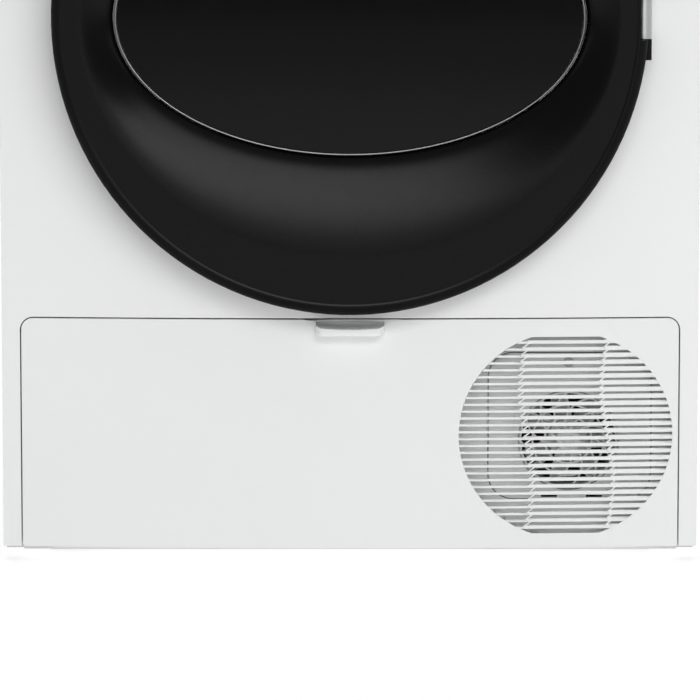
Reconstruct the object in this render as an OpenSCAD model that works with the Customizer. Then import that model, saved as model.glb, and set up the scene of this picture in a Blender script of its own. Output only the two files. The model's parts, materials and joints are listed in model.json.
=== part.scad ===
// Free-standing heat-pump tumble dryer, in millimetres.
// +Z is up and the front faces -Y. The origin is on the floor, at the middle of the overall box.

/* [Cabinet] */
// Width of the cabinet
cabinet_w = 595; // [594:0.5:597]
// Height from the floor to the top of the worktop
cabinet_h = 849; // [846:1:860]
// Overall depth from the door face to the rear cover
overall_d = 649; // [648:1:652]
// How far the middle of the front bows out beyond its sides
front_bow = 14; // [12:1:15]

/* [Door] */
// Outer radius of the round door
door_r = 251.2; // [250:0.1:252]
// Height of the door's centre above the floor
door_z = 467; // [466:0.5:468]
// Half width of the oval window in the door
window_a = 198.5; // [196:0.5:206]
// Half height of the oval window in the door
window_b = 116.6; // [112:0.2:120]

/* [Flap] */
// Height of the flap's lower edge above the floor
flap_z0 = 12; // [12:0.5:13]
// Height of the flap's upper edge above the floor
flap_z1 = 209.3; // [208.5:0.1:210.5]
// Half width of the flap
flap_half = 280.9; // [279.8:0.1:281.6]
// Width of the handle on the flap
handle_w = 59; // [50:1:80]

/* [Grille] */
// Centre of the nearly round grille, to the right of the middle
grille_x = 184.4; // [180:0.2:185]
// Height of the grille's centre above the floor
grille_z = 109.2; // [108:0.2:110]
// Half width of the grille
grille_r = 91.6; // [88:0.2:91.6]
// Half height of the grille
grille_b = 89.2; // [87:0.2:91.6]
// Number of slots in the grille
slot_count = 29; // [25:2:29]
// Height of each slot at its left end, before the bars step up
slot_h = 3.9; // [3.4:0.1:4]

/* [Drum] */
// Outer radius of the drum
drum_r = 280; // [278:0.5:281]
// Height of the drum's axis above the floor
drum_z = 520; // [518:0.5:521]
// Number of lifters inside the drum
baffle_count = 3; // [2:1:4]

/* [Hidden] */

// Colours
white_c = [0.90, 0.91, 0.91];
grey_c = [0.72, 0.73, 0.74];
dark_c = [0.12, 0.12, 0.13];
black_c = [0.03, 0.03, 0.035];
steel_c = [0.70, 0.71, 0.72];
copper_c = [0.72, 0.43, 0.27];
rubber_c = [0.08, 0.08, 0.08];
felt_c = [0.55, 0.53, 0.48];

// Fits and common thicknesses
fit = 0.05;
gap = 0.5;
sheet = 1;
wall = 3;
over = 1;

// Front surface: a large vertical cylinder
half_w = cabinet_w / 2;
door_front_y = -overall_d / 2;
panel_y = door_front_y + 36;
bow_r = (half_w * half_w + front_bow * front_bow) / (2 * front_bow);
seam_y = panel_y + front_bow + 16.5;
function front_at(x) = panel_y + bow_r - sqrt(bow_r * bow_r - x * x);

// Depth stations, front to rear
bulkhead_y = -270;
bulkhead_t = 4;
ring_y1 = -229;
drum_y0 = -222;
drum_y1 = 262;
rear_y0 = 298;
rear_y1 = 300;
cover_y1 = overall_d / 2;

// Levels
base_z = 7.6;
floor_z = base_z + wall;
side_z0 = 12;
panel_z1 = 735;
fascia_z0 = 736;
worktop_z0 = cabinet_h - 19.5;
fascia_z1 = worktop_z0 - 0.5;

// Door
door_open_r = 194;
neck_r = 184;
plug_r = 178;
hinge_x = door_r - 4;
hinge_y = -300;
hinge_pin_r = 3;
latch_x = -213;

// Fan behind the grille
fan_x = 187.5;
fan_z = 102;
cover_x0 = 119;
cover_x1 = 258;
cover_z0 = 51.6;
cover_z1 = 177.4;

// Drive
motor_x = 20;
motor_z = 125;
pulley_r = 9;
belt_y0 = 130;
belt_w = 9;
belt_t = 2.5;
belt_play = 0.3;
motor_reach = sqrt(motor_x * motor_x + (drum_z - motor_z) * (drum_z - motor_z));
motor_angle = atan2(drum_z - motor_z, -motor_x);
belt_fan = acos(-(drum_r - pulley_r) / motor_reach);
belt_left = motor_angle + belt_fan;
belt_right = motor_angle - belt_fan;

// Support rollers under the front of the drum
roller_r = 25;
roller_angle = 38;
roller_gap = 0.1;
roller_reach = drum_r + roller_r + roller_gap;
roller_x = roller_reach * sin(roller_angle);
roller_z = drum_z - roller_reach * cos(roller_angle);

// ---------- shared shapes ----------

// A box between two corners
module slab(x0, x1, y0, y1, z0, z1) {
  translate([x0, y0, z0]) cube([x1 - x0, y1 - y0, z1 - z0]);
}

// Rods along the three axes
module rod_y(r, y0, y1, x = 0, z = 0) {
  translate([x, y0, z]) rotate([-90, 0, 0]) cylinder(r = r, h = y1 - y0, $fn = 96);
}
module rod_x(r, x0, x1, y, z) {
  translate([x0, y, z]) rotate([0, 90, 0]) cylinder(r = r, h = x1 - x0, $fn = 48);
}
module rod_z(r, z0, z1, x, y) {
  translate([x, y, z0]) cylinder(r = r, h = z1 - z0, $fn = 64);
}
module ring_y(r1, r0, y0, y1, x = 0, z = 0) {
  difference() {
    rod_y(r1, y0, y1, x, z);
    rod_y(r0, y0 - over, y1 + over, x, z);
  }
}

// A profile of [radius, y] turned about a line along Y
module turned_y(x, z, fn = 180) {
  translate([x, 0, z]) rotate([-90, 0, 0]) rotate_extrude($fn = fn) children();
}

// An outline drawn in X and Z, extruded along Y
module sheet_y(y0, y1) {
  translate([0, y1, 0]) rotate([90, 0, 0]) linear_extrude(y1 - y0) children();
}

// A rectangle with round corners in X and Z
module round_rect(x0, x1, z0, z1, r) {
  translate([x0 + r, z0]) square([x1 - x0 - 2 * r, z1 - z0]);
  translate([x0, z0 + r]) square([x1 - x0, z1 - z0 - 2 * r]);
  for (x = [x0 + r, x1 - r], z = [z0 + r, z1 - r]) translate([x, z]) circle(r, $fn = 48);
}

// Everything behind the bowed front surface, set back by inset
bow_steps = 40;
module bow_block(inset, half, y_back, z0, z1) {
  dx = 2 * half / bow_steps;
  translate([0, 0, z0]) linear_extrude(z1 - z0) polygon(concat(
    [for (k = [0:bow_steps]) [-half + k * dx, front_at(-half + k * dx) + inset]],
    [[half, y_back], [-half, y_back]]));
}

// An oval in X and Z about the door's centre
module oval(a, b) {
  translate([0, door_z]) polygon([for (t = [0:5:355]) [a * cos(t), b * sin(t)]]);
}

// ---------- cabinet ----------

// Boss that carries a foot's stem
module foot_boss(x, y) {
  rod_z(12, floor_z - over, 26, x, y);
}
foot_x = 245;
foot_y_front = -190;
foot_y_rear = 205;
foot_stem_r = 6;

module base_tray() {
  tray_x = 296;
  tray_y0 = -255;
  color(grey_c) difference() {
    union() {
      difference() {
        slab(-tray_x, tray_x, tray_y0, rear_y0 - gap, base_z, 62);
        slab(-tray_x + wall, tray_x - wall, tray_y0 + wall, rear_y0 - gap - wall, floor_z, 63);
        slab(-flap_half + wall, flap_half - wall, tray_y0 - over, tray_y0 + wall + over, floor_z, 63);
      }
      slab(-flap_half, flap_half, -262.5, -255, base_z, floor_z);
      slab(-257, 257, -266, -262.5, base_z, 10);
      sheet_y(-262.5, -259.5) difference() {
        translate([-flap_half, base_z]) square([2 * flap_half, 204.4]);
        round_rect(cover_x0 - 0.9, cover_x1 + 0.9, cover_z0 - 0.9, cover_z1 + 0.9, 21.9);
        round_rect(-262, -70, 30, 178, 16);
      }
      for (x = [-flap_half, flap_half - wall]) slab(x, x + wall, -260, -252, floor_z, 205);
      for (x = [-55, 112]) slab(x, x + wall, -260, -248, floor_z, 170);
      for (x = [-foot_x, foot_x], y = [foot_y_front, foot_y_rear]) foot_boss(x, y);
      for (x = hinge_spots) {
        slab(x - 3, x + 3, flap_axis_y, -262, flap_axis_z - 5.2, flap_axis_z + 5.2);
        rod_x(5.2, x - 3, x + 3, flap_axis_y, flap_axis_z);
        rod_x(flap_pin_r, x - 9, x + 9, flap_axis_y, flap_axis_z);
      }
    }
    for (x = [-foot_x, foot_x], y = [foot_y_front, foot_y_rear]) {
      rod_z(foot_stem_r + fit, base_z - over, 46, x, y);
    }
  }
}

// One side: a plain sheet with a return behind the front edge
module side_panel(side) {
  mirror([side < 0 ? 1 : 0, 0, 0]) {
    slab(half_w - sheet, half_w, seam_y + gap, rear_y1, side_z0, worktop_z0 - gap);
    slab(half_w - 12.5, half_w - sheet + 0.01, seam_y + gap, seam_y + gap + sheet, side_z0, panel_z1);
  }
}
module side_panel_left() { color(white_c) side_panel(-1); }
module side_panel_right() { color(white_c) side_panel(1); }

hub_r = 34;
duct_x0 = -66;
duct_x1 = -16;

module rear_panel() {
  vent_r0 = 70;
  vent_r1 = 222;
  color(steel_c) difference() {
    union() {
      difference() {
        slab(-half_w + 1.1, half_w - 1.1, rear_y0, rear_y1, side_z0, worktop_z0 - gap);
        difference() {
          rod_y(vent_r1, rear_y0 - over, rear_y1 + over, 0, drum_z);
          rod_y(vent_r0, rear_y0 - 2 * over, rear_y1 + 2 * over, 0, drum_z);
          for (a = [45, 135]) translate([0, 0, drum_z]) rotate([0, a, 0])
            cube([2 * vent_r1 + 10, 700, 26], center = true);
        }
      }
      ring_y(252, 228, 269.2, rear_y0 + 0.1, 0, drum_z);
      rod_y(10, rear_y1 - 0.1, 322, 240, 640);
      rod_y(14, rear_y1 - 0.1, rear_y1 + 2, 240, 640);
    }
    ring_y(247, 233, 272, rear_y1 + over, 0, drum_z);
    rod_y(6.5, rear_y0 - over, 323, 240, 640);
    slab(duct_x0, duct_x1, rear_y0 - over, rear_y1 + over, 122, 203);
    rod_y(11 + fit, rear_y0 - over, rear_y1 + over, 225, 75);
    for (p = rear_screw_spots) rod_y(2.1, rear_y0 - over, rear_y1 + over, p[0], p[1]);
  }
}

// Screws: eight on the cover's rim and one in each corner of the panel
cover_rim_r = 243;
cover_screw_spots = [for (a = [22.5:45:360]) if (a < 240 || a > 300) [cover_rim_r * cos(a), drum_z + cover_rim_r * sin(a)]];
corner_screw_spots = [for (x = [-275, 275], z = [85, 800]) [x, z]];
rear_screw_spots = concat(cover_screw_spots, corner_screw_spots);

// Outline of the rear air duct: a disc with a leg down to the blower
module duct_outline(grow) {
  translate([0, drum_z]) circle(228 + grow, $fn = 180);
  round_rect(duct_x0 - 20 - grow, duct_x1 + 20 + grow, 100 - grow, drum_z, 18 + grow);
}

module rear_cover() {
  rim = 22;
  color(grey_c) difference() {
    union() {
      sheet_y(rear_y1, rear_y1 + wall) duct_outline(rim);
      sheet_y(rear_y1, cover_y1) duct_outline(0);
    }
    sheet_y(rear_y1 - over, cover_y1 - wall) duct_outline(-wall);
    for (r = [60:30:180]) ring_y(r + 6, r, cover_y1 - 1, cover_y1 + over, 0, drum_z);
    for (p = cover_screw_spots) rod_y(2.1, rear_y1 - over, rear_y1 + wall + over, p[0], p[1]);
  }
}

module screw(x, z, y) {
  rod_y(2, rear_y0, y + 0.5, x, z);
  difference() {
    turned_y(x, z, 48) polygon([[0, y], [4.2, y], [4.2, y + 1], [3.2, y + 2.4], [0, y + 2.8]]);
    rod_y(1.6, y + 1.2, y + 3, x, z);
  }
}
module rear_screws() {
  color(steel_c) {
    for (p = cover_screw_spots) screw(p[0], p[1], rear_y1 + wall);
    for (p = corner_screw_spots) screw(p[0], p[1], rear_y1);
  }
}

flap_gap = 1;

module front_panel() {
  t = 1.2;
  color(white_c) difference() {
    union() {
      difference() {
        bow_block(0, half_w, seam_y, side_z0, panel_z1);
        bow_block(t, half_w - t, seam_y + over, side_z0 - over, panel_z1 + over);
      }
      for (s = [-1, 1]) intersection() {
        bow_block(0, half_w, seam_y, side_z0, flap_z1);
        translate([s * (flap_half + flap_gap + t / 2) - t / 2, panel_y, side_z0])
          cube([t, 30 - 2, flap_z1 - side_z0]);
      }
    }
    rod_y(door_open_r, panel_y - 5, seam_y + 5, 0, door_z);
    sheet_y(panel_y - 5, seam_y - 12) round_rect(
      -flap_half - flap_gap, flap_half + flap_gap, -30, flap_z1 + flap_gap, 11.5);
    slab(-flap_half - flap_gap, flap_half + flap_gap, panel_y - 5, seam_y + 5, -30, 150);
    slab(latch_x - 8, latch_x + 8, panel_y, -265, door_z - 11, door_z + 11);
    slab(hinge_x - 8, hinge_x + 8, panel_y, -265, door_z - 20, door_z + 20);
  }
}

slot_x = 114;
filter_y0 = -255.5;
filter_y1 = -233;
filter_z0 = 176;

module front_bulkhead() {
  catch_hole = 3;
  color(grey_c) difference() {
    union() {
      slab(-284, 284, bulkhead_y, bulkhead_y + bulkhead_t, 214, 730);
      rod_y(270, bulkhead_y + bulkhead_t - 0.1, ring_y1, 0, drum_z);
      rod_y(neck_r + 6, -286, bulkhead_y + 0.1, 0, door_z);
      slab(-slot_x - 4, slot_x + 4, -258.5, filter_y1 + 3, filter_z0, 300);
      for (s = [-1, 1]) rod_y(5, bulkhead_y + bulkhead_t - 0.1, -198, s * roller_x, roller_z);
      for (s = [-1, 1]) rod_y(11, bulkhead_y + bulkhead_t - 0.1, drum_y0 + 2, s * roller_x, roller_z);
    }
    difference() {
      rod_y(236, bulkhead_y + 2 * bulkhead_t, ring_y1 + 20, 0, drum_z);
      slab(-slot_x - 4, slot_x + 4, -258.5, filter_y1 + 3, filter_z0, door_z - neck_r + 4);
    }
    difference() {
      rod_y(264, bulkhead_y + 2 * bulkhead_t, ring_y1 - 4, 0, drum_z);
      rod_y(240, bulkhead_y, ring_y1, 0, drum_z);
      slab(-slot_x - 4, slot_x + 4, -258.5, filter_y1 + 3, filter_z0, 300);
    }
    rod_y(neck_r, -290, ring_y1 + 20, 0, door_z);
    slab(-slot_x, slot_x, filter_y0, filter_y1, filter_z0 - over, 320);
    slab(latch_x - 22, latch_x + 15, bulkhead_y - 1, bulkhead_y + 20, door_z - 31, door_z + 31);
  }
}

module worktop() {
  color(white_c) difference() {
    bow_block(0.5, half_w, rear_y1 + 2, worktop_z0, cabinet_h);
    slab(-half_w + 16, half_w - 16, -255, rear_y1 - 14, worktop_z0 - over, worktop_z0 + 3);
  }
}

knob_z = 782;
power_x = -70;
start_x = 254;
window_x0 = 62;
window_x1 = 222;
window_z0 = 768;
window_z1 = 802;
tank_x0 = -291;
tank_x1 = -119;
tank_z0 = 742;
tank_z1 = 825;

module control_panel() {
  t = 3;
  color(white_c) difference() {
    bow_block(0, half_w, seam_y, fascia_z0, fascia_z1);
    bow_block(t, half_w - t, seam_y + over, fascia_z0 - over, fascia_z1 + over);
    sheet_y(panel_y - 5, seam_y - 13) round_rect(
      tank_x0 - 1.2, tank_x1 + 1.2, tank_z0 - 1.2, tank_z1 + 1.2, 5);
    sheet_y(panel_y - 5, seam_y - 13) round_rect(window_x0, window_x1, window_z0, window_z1, 5);
    rod_y(5.6, panel_y - 5, seam_y, 0, knob_z);
    rod_y(9 + 0.2, panel_y - 5, seam_y, power_x, knob_z);
    rod_y(13 + 0.2, panel_y - 5, seam_y, start_x, knob_z);
  }
}

module display_window() {
  color(black_c) intersection() {
    difference() {
      bow_block(0.3, half_w, seam_y, window_z0, window_z1);
      bow_block(2.7, half_w, seam_y + over, window_z0 - over, window_z1 + over);
    }
    sheet_y(panel_y - 5, seam_y) round_rect(
      window_x0 + 0.3, window_x1 - 0.3, window_z0 + 0.3, window_z1 - 0.3, 4.7);
  }
}

module control_board() {
  color(dark_c) difference() {
    union() {
      slab(-60, 232, -272, -268, 762, 824);
      slab(-60, 232, -268.1, -228, 794, 824);
      slab(-16, 16, -281, -271.9, knob_z - 16, knob_z + 16);
      slab(window_x0 + 6, window_x1 - 6, -276, -271.9, window_z0 + 4, window_z1 - 4);
    }
    slab(-58, 230, -266, -230, 796, 830);
    rod_y(5 + fit, -282, -263, 0, knob_z);
  }
}

module door_catch() {
  color(dark_c) difference() {
    slab(latch_x - 19, latch_x + 12, -276, -252, door_z - 28, door_z + 28);
    slab(latch_x - 7, latch_x + 7, -277, -258, door_z - 10, door_z + 10);
    for (z = [-21, 21]) rod_y(2, -277, -250, latch_x - 3, door_z + z);
  }
}

module door_hinge() {
  color(steel_c) difference() {
    union() {
      slab(hinge_x - 24, hinge_x + 22, -274.8, -271, door_z - 35, door_z + 35);
      slab(hinge_x - 6, hinge_x + 6, hinge_y, -274.7, door_z - 18, door_z + 18);
      rod_z(7, door_z - 18, door_z + 18, hinge_x, hinge_y);
      rod_z(hinge_pin_r, door_z - 34, door_z + 34, hinge_x, hinge_y);
    }
    for (x = [hinge_x - 17, hinge_x + 16], z = [-28, 28]) rod_y(2.2, -276, -270, x, door_z + z);
  }
}

module door_gasket() {
  color(rubber_c) turned_y(0, door_z) polygon([
    [neck_r, -286], [neck_r + 6, -286], [neck_r + 6, -287.4], [neck_r + 3, -290.4], [neck_r, -289.4]]);
}

// ---------- drum and drive ----------

module drum_felts() {
  color(felt_c) {
    ring_y(268, 238, ring_y1, drum_y0 - 0.3, 0, drum_z);
    ring_y(248, 232, drum_y1 + 0.3, 269.2, 0, drum_z);
  }
}

module drum() {
  t = 1.5;
  mouth_r = 235;
  color(steel_c) difference() {
    union() {
      ring_y(drum_r, drum_r - t, drum_y0, drum_y1, 0, drum_z);
      ring_y(drum_r - 0.1, mouth_r, drum_y0, drum_y0 + t, 0, drum_z);
      ring_y(mouth_r + t, mouth_r, drum_y0, drum_y0 + 9, 0, drum_z);
      rod_y(drum_r - 0.1, drum_y1 - t, drum_y1, 0, drum_z);
      for (y = [-120, 40, 200]) ring_y(drum_r - t + 0.1, drum_r - t - 3, y, y + 8, 0, drum_z);
    }
    for (ring = [0:3], a = [0:15:345]) rotate_about_drum(a + ring * 7.5)
      rod_y(5, drum_y1 - 5, drum_y1 + over, 90 + 33 * ring, 0);
  }
}
module rotate_about_drum(a) {
  translate([0, 0, drum_z]) rotate([0, -a, 0]) children();
}

// Lifters: hollow ridges that taper to a rounded crest
module baffle_outline(inset) {
  foot_w = 64 - 2 * inset;
  crest_r = 9 - inset;
  crest_x = drum_r - 51.5;
  polygon([
    [drum_r, -foot_w / 2], [drum_r, foot_w / 2], [crest_x, crest_r], [crest_x, -crest_r]]);
  translate([crest_x, 0]) circle(crest_r, $fn = 48);
}
module drum_baffles() {
  inside_r = drum_r - 1.5 - 3.2;
  color(white_c) for (k = [0:baffle_count - 1]) rotate_about_drum(360 * k / baffle_count + 90) {
    intersection() {
      difference() {
        sheet_y(-190, 235) baffle_outline(0);
        sheet_y(-187, 232) baffle_outline(3);
      }
      rod_y(inside_r, -200, 245);
    }
  }
}

module drum_shaft() {
  color(steel_c) {
    turned_y(0, drum_z, 96) polygon([
      [0, drum_y1], [70, drum_y1], [70, drum_y1 + 3], [24, drum_y1 + 6], [12, drum_y1 + 10],
      [12, rear_y0 - 1], [0, rear_y0 - 1]]);
  }
}

module rear_bearing() {
  color(dark_c) difference() {
    union() {
      rod_y(24, drum_y1 + 12, rear_y0, 0, drum_z);
      rod_y(60, rear_y0 - 4, rear_y0, 0, drum_z);
      for (a = [0:60:300]) rotate_about_drum(a)
        slab(0, 52, drum_y1 + 20, rear_y0 - 3, -2, 2);
    }
    rod_y(12 + fit, drum_y1, rear_y0 + over, 0, drum_z);
  }
}

// Loop round the drum and the motor pulley, set out from both by grow
module belt_loop(grow) {
  rd = drum_r + grow;
  rp = pulley_r + grow;
  translate([0, drum_z]) circle(rd, $fn = 360);
  translate([motor_x, motor_z]) circle(rp, $fn = 64);
  polygon([
    [rd * cos(belt_left), drum_z + rd * sin(belt_left)],
    [motor_x + rp * cos(belt_left), motor_z + rp * sin(belt_left)],
    [motor_x + rp * cos(belt_right), motor_z + rp * sin(belt_right)],
    [rd * cos(belt_right), drum_z + rd * sin(belt_right)]]);
}
module drum_belt() {
  color(rubber_c) sheet_y(belt_y0, belt_y0 + belt_w) difference() {
    belt_loop(belt_play + belt_t);
    belt_loop(belt_play);
  }
}

module support_roller(side) {
  color(dark_c) difference() {
    turned_y(side * roller_x, roller_z, 96) polygon([
      [5 + fit, -219], [16, -219], [16, -217], [roller_r - 1, -217], [roller_r, -216],
      [roller_r, -204], [roller_r - 1, -203], [16, -203], [16, -201], [5 + fit, -201]]);
    for (a = [0:60:300]) translate([side * roller_x, 0, roller_z]) rotate([0, a, 0])
      rod_y(3, -220, -200, 11, 0);
  }
}
module roller_left() { support_roller(-1); }
module roller_right() { support_roller(1); }

stator_y0 = 18;
stator_y1 = 112;
shaft_r = 6;

module motor_stator() {
  bolt = 46;
  color(dark_c) difference() {
    union() {
      rod_y(52, stator_y0, stator_y1, motor_x, motor_z);
      for (a = [0:30:330]) translate([motor_x, 0, motor_z]) rotate([0, a, 0])
        slab(50, 56, stator_y0 + 14, stator_y1 - 14, -2.5, 2.5);
      for (y = [stator_y0 + 6, stator_y1 - 14])
        slab(motor_x - 40, motor_x + 40, y, y + 8, floor_z, motor_z - 30);
      slab(motor_x - 55, motor_x + 55, stator_y0, stator_y1, floor_z, floor_z + 4);
    }
    rod_y(29, stator_y0 + 6, stator_y1 - 6, motor_x, motor_z);
    rod_y(shaft_r + fit, stator_y0 - over, stator_y1 + over, motor_x, motor_z);
    for (a = [45:90:315]) translate([motor_x, 0, motor_z]) rotate([0, a, 0])
      rod_y(2, stator_y0 - over, stator_y1 + over, bolt - 4, 0);
  }
}

module motor_rotor() {
  color(steel_c) {
    rod_y(shaft_r, stator_y0 - 8, 256, motor_x, motor_z);
    rod_y(28.4, stator_y0 + 10, stator_y1 - 10, motor_x, motor_z);
    turned_y(motor_x, motor_z, 96) polygon([
      [0, belt_y0 - 3], [13, belt_y0 - 3], [13, belt_y0 - 1], [pulley_r, belt_y0 - 1],
      [pulley_r, belt_y0 + belt_w + 1], [13, belt_y0 + belt_w + 1],
      [13, belt_y0 + belt_w + 3], [0, belt_y0 + belt_w + 3]]);
  }
}

impeller_r = 74;
impeller_y0 = 222;
impeller_y1 = 250;

module blower_impeller() {
  blades = 24;
  color(grey_c) difference() {
    union() {
      rod_y(impeller_r, impeller_y1 - 3, impeller_y1, motor_x, motor_z);
      rod_y(14, impeller_y0 + 4, impeller_y1, motor_x, motor_z);
      ring_y(impeller_r, impeller_r - 8, impeller_y0, impeller_y0 + 3, motor_x, motor_z);
      for (k = [0:blades - 1]) translate([motor_x, 0, motor_z]) rotate([0, 360 * k / blades, 0])
        translate([58, 0, 0]) rotate([0, 35, 0])
          slab(-6, 14, impeller_y0 + 1, impeller_y1 - 1, -0.9, 0.9);
    }
    rod_y(shaft_r, impeller_y0 - over, impeller_y1 + over, motor_x, motor_z);
  }
}

// Scroll round the impeller, with its outlet through the rear panel
module blower_housing() {
  y0 = 214;
  y1 = 262;
  r = 86;
  color(grey_c) difference() {
    union() {
      rod_y(r, y0, y1, motor_x, motor_z);
      slab(duct_x0 + 1, duct_x1 - 1, y0, rear_y0 - gap, 123, 202);
      slab(motor_x - 40, motor_x + 40, y0 + 10, y1 - 10, floor_z, motor_z - 76);
    }
    rod_y(r - wall, y0 + wall, y1 - wall, motor_x, motor_z);
    slab(duct_x0 + 1 + wall, duct_x1 - 1 - wall, y0 + wall, rear_y0, 123 + wall, 202 - wall);
    rod_y(50, y0 - over, y0 + wall + over, motor_x, motor_z);
  }
}

// Tensioner: an arm with a roller that leans on the back of the belt
idler_r = 15;
idler_reach = pulley_r + belt_play + belt_t + 0.2 + idler_r;
idler_along = 62;
idler_x = motor_x + idler_reach * cos(belt_left) - idler_along * sin(belt_left - 180);
idler_z = motor_z + idler_reach * sin(belt_left) + idler_along * cos(belt_left - 180);
arm_x = idler_x - 8;
arm_z = idler_z - 48;

module idler_arm() {
  tilt = atan2(idler_x - arm_x, idler_z - arm_z);
  len = sqrt((idler_x - arm_x) * (idler_x - arm_x) + (idler_z - arm_z) * (idler_z - arm_z));
  color(steel_c) {
    translate([arm_x, 0, arm_z]) rotate([0, tilt, 0]) {
      difference() {
        union() {
          slab(-8, 8, 118, 122, 0, len);
          rod_y(10, 118, 122);
          rod_y(10, 118, 122, 0, len);
          rod_y(8, 112, 122);
        }
        rod_y(4 + fit, 100, 130);
      }
      rod_y(4, 121.9, 145, 0, len);
    }
  }
}
module idler_pulley() {
  color(dark_c) turned_y(idler_x, idler_z, 96) polygon([
    [4 + fit, 124], [8, 124], [8, 126], [idler_r + 2, 126], [idler_r + 2, 128], [idler_r, 128.6],
    [idler_r, 140.4], [idler_r + 2, 141], [idler_r + 2, 143], [4 + fit, 143]]);
}

// ---------- heat pump ----------

comp_x = 190;
comp_y = -55;
comp_r = 58;

module compressor() {
  color(dark_c) {
    translate([comp_x, comp_y, 0]) rotate_extrude($fn = 96) polygon([
      [0, 32], [30, 32], [50, 38], [comp_r, 50], [comp_r, 185], [52, 204], [34, 216], [0, 220]]);
    difference() {
      union() {
        for (a = mount_angles) translate([comp_x, comp_y, 0]) rotate(a) slab(0, 78, -14, 14, 26, 29);
        rod_z(40, 26, 34, comp_x, comp_y);
      }
      for (a = mount_angles) translate([comp_x, comp_y, 0]) rotate(a) rod_z(6, 20, 40, 68, 0);
    }
    for (y = [-35, 35]) rod_x(5, 120, 150, comp_y + y, 60);
    rod_z(13, 210, 226, comp_x + 20, comp_y);
  }
}
mount_angles = [60, 180, 300];
module compressor_mounts() {
  color(rubber_c) for (a = mount_angles) translate([comp_x, comp_y, 0]) rotate(a)
    translate([68, 0, 0]) difference() {
      union() {
        rod_z(12, floor_z, 26, 0, 0);
        rod_z(5.9, 25.9, 29.4, 0, 0);
        rod_z(10, 29.3, 33, 0, 0);
      }
      rod_z(2.5, floor_z - over, 34, 0, 0);
    }
}

// A fin block: end plates, fins across the air flow and the tubes through them
hx_x0 = -262;
hx_x1 = -72;
hx_z0 = 28;
hx_z1 = 198;
module fin_block(y0, y1, rows) {
  fins = 18;
  step = (hx_x1 - hx_x0 - 2) / fins;
  for (k = [0:fins]) slab(hx_x0 + k * step, hx_x0 + k * step + (k % fins == 0 ? 2 : 1),
    y0, y1, hx_z0, hx_z1);
  for (r = [0:rows - 1], z = [55:34:180]) {
    rod_x(5, hx_x0, hx_x1, y0 + (r + 0.5) * (y1 - y0) / rows, z);
  }
  for (z = [hx_z0, hx_z1 - 2]) slab(hx_x0, hx_x1, y0, y0 + 6, z, z + 2);
}
module evaporator() { color(steel_c) fin_block(-205, -85, 3); }
module condenser() { color(steel_c) fin_block(-60, 90, 4); }

pipe_r = 4;
module refrigerant_pipes() {
  color(copper_c) {
    rod_x(pipe_r, hx_x1 + 0.2, 120, comp_y - 35, 60);
    rod_x(pipe_r, 90, 120, comp_y + 35, 60);
    translate([90, comp_y + 35, 60]) sphere(pipe_r, $fn = 48);
    rod_z(pipe_r, 60, 150, 90, comp_y + 35);
    translate([90, comp_y + 35, 150]) sphere(pipe_r, $fn = 48);
    rod_x(pipe_r, hx_x1 + 0.2, 90, comp_y + 35, 150);
    rod_x(pipe_r, hx_x1 + 0.2, -50, comp_y - 60, 175);
    translate([-50, comp_y - 60, 175]) sphere(pipe_r, $fn = 48);
    translate([-50, comp_y - 60, 175]) rotate([-90, 0, 0]) cylinder(r = pipe_r, h = 75, $fn = 48);
    translate([-50, comp_y + 15, 175]) sphere(pipe_r, $fn = 48);
    rod_x(pipe_r, hx_x1 + 0.2, -50, comp_y + 15, 175);
    rod_z(11, 90, 140, -40, comp_y - 35);
    rod_z(pipe_r, 62, 92, -40, comp_y - 35);
  }
}

module heat_pump_cover() {
  x0 = -270;
  x1 = -62;
  y0 = -214;
  y1 = 104;
  z1 = 206;
  color(grey_c) difference() {
    slab(x0, x1, y0, y1, floor_z, z1);
    slab(x0 + wall, x1 - wall, y0 + wall, y1 - wall, floor_z - over, z1 - wall);
    slab(x0 + 12, x1 - 12, y0 - over, y0 + wall + over, 34, 190);
    slab(x0 + 60, x1 - 12, y1 - wall - over, y1 + over, 60, 190);
    for (p = [[-35, 60], [35, 150], [-60, 175], [15, 175]])
      rod_x(pipe_r + 2, x1 - 2 * wall, x1 + over, comp_y + p[0], p[1]);
  }
}

hose_x = -275;
hose_y = 282;
hose_z = 795;
bend_r = 22;
module condensate_pump() {
  color(dark_c) {
    slab(-288, -228, 232, 291, floor_z, 48);
    rod_z(22, 47.9, 76, -254, 256);
    rod_z(4.5, 47.9, 84, hose_x, hose_y);
  }
}
module condensate_hose() {
  r1 = 6.5;
  r0 = 4.55;
  color(grey_c) {
    difference() {
      rod_z(r1, 66, hose_z - bend_r, hose_x, hose_y);
      rod_z(r0, 65, hose_z, hose_x, hose_y);
    }
    translate([hose_x, hose_y - bend_r, hose_z - bend_r]) rotate([90, 0, 90])
      rotate_extrude(angle = 90, $fn = 96) translate([bend_r, 0]) difference() {
        circle(r1, $fn = 48);
        circle(r0, $fn = 48);
      }
    ring_y(r1, r0, 150, hose_y - bend_r, hose_x, hose_z);
  }
}

// ---------- compressor cooling, behind the grille ----------

fan_y0 = -256;
fan_y1 = -231;
fan_bore = 41;

module service_cover() {
  color(white_c) difference() {
    union() {
      sheet_y(-262.5, -259.8) round_rect(cover_x0, cover_x1, cover_z0, cover_z1, 21);
      sheet_y(-260, -257.5) round_rect(cover_x0 + 4, cover_x1 - 4, cover_z0 + 4, cover_z1 - 4, 17);
    }
    rod_y(43.4, -264, -255, fan_x, fan_z);
    slab(cover_x0 + 21.4, cover_x0 + 22.4, -264, -261.5, 64.7, 147);
    for (x = [164.3, 203]) slab(x, x + 13.8, -264, -255, cover_z0 + 0.8, cover_z0 + 2.8);
    rod_y(3.2, -264, -261, fan_x, cover_z1 - 7.8);
  }
}

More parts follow.
